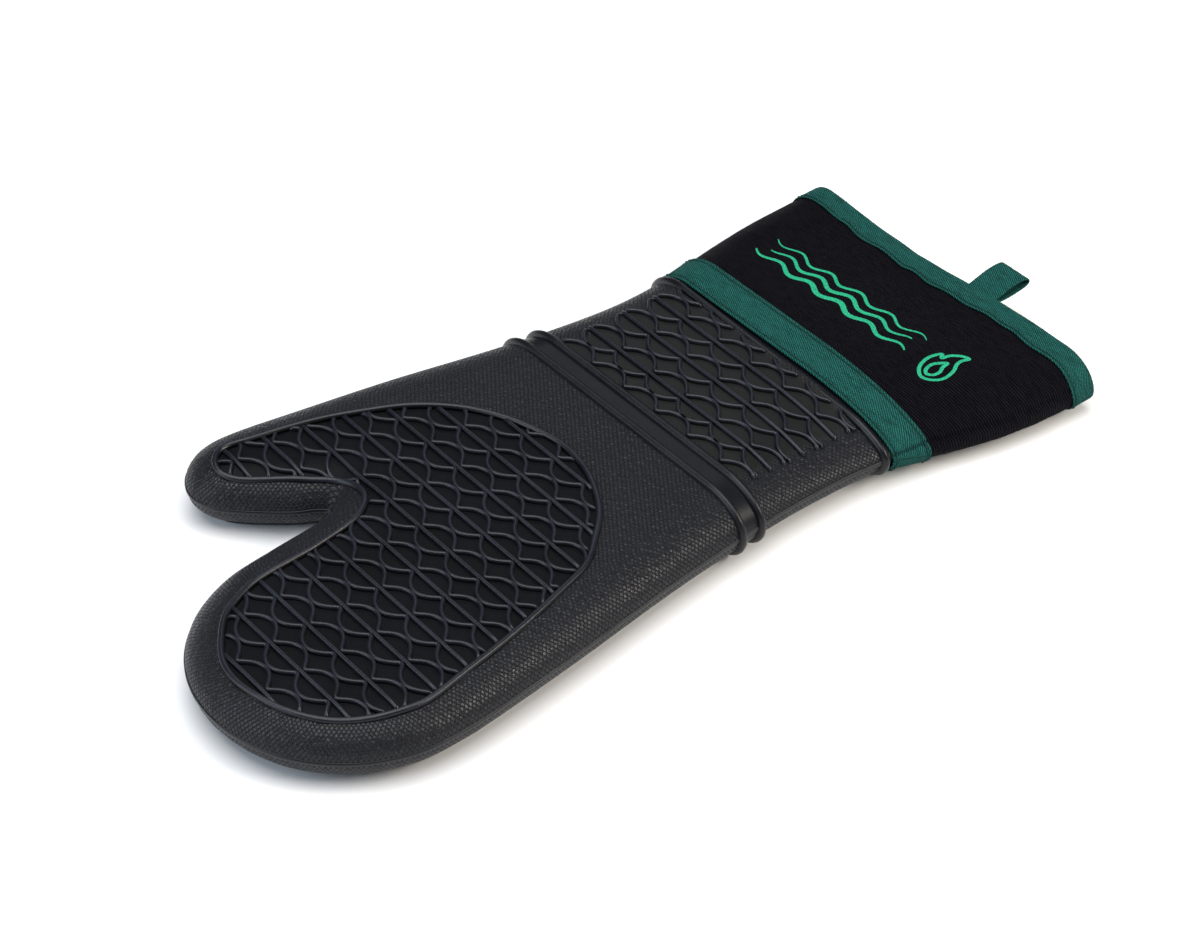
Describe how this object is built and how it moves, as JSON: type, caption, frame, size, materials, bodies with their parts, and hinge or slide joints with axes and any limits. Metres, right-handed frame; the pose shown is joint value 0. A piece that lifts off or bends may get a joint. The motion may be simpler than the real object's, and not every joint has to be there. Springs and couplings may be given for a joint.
{
  "type": "oven mitt",
  "caption": "Long moulded silicone barbecue mitt with a ridged grip pattern and a thumb, quilted fabric liner, flared fabric cuff edged with tape, and a hanging loop",
  "frame": {"origin": "middle of the bounding box at its lowest plane, the back of the silicone moulding that lies on the table", "axes": "+X from the fingertips to the cuff mouth, +Y to the thumb side, +Z out of the palm"},
  "size_m": [0.3849, 0.1781, 0.0274],
  "materials": {
    "silicone": "satin black moulded silicone with a fine embossed texture",
    "twill": "black cotton twill",
    "tape": "dark teal green woven cotton tape",
    "thread": "matching sewing thread",
    "lining": "dark cotton lining, quilted in the mitt",
    "batting": "pale needled polyester and cotton wadding"
  },
  "bodies": {
    "mitt": {"silicone_shell": "silicone", "palm_batting": "batting", "back_batting": "batting", "palm_liner": "lining", "back_liner": "lining", "band_palm_tape": "tape", "band_back_tape": "tape", "band_palm_rim_stitch": "thread", "band_palm_cuff_stitch": "thread", "band_back_rim_stitch": "thread", "band_back_cuff_stitch": "thread"},
    "cuff": {"cuff_palm_panel": "twill", "cuff_back_panel": "twill", "cuff_palm_lining": "lining", "cuff_back_lining": "lining", "cuff_near_seam": "thread", "cuff_far_seam": "thread", "hem_binding": "tape", "hem_stitch": "thread", "loop_bartack": "thread"},
    "loop": {"hanging_loop": "tape"}
  },
  "joints": [
    {"name": "cuff_fold", "type": "hinge", "parent": "mitt", "child": "cuff", "pos_m": [0.0884, 0, 0.013], "axis": [0, -1, 0], "range_deg": [0, 40], "stiffness_Nm_per_rad": 0.06, "deforming": ["band_palm_tape", "band_back_tape", "band_palm_rim_stitch", "band_palm_cuff_stitch", "band_back_rim_stitch", "band_back_cuff_stitch"]},
    {"name": "loop_swing", "type": "hinge", "parent": "cuff", "child": "loop", "pos_m": [0.1731, -0.0223, 0.0186], "axis": [0, -1, 0], "range_deg": [-45, 60], "stiffness_Nm_per_rad": 0.002}
  ]
}
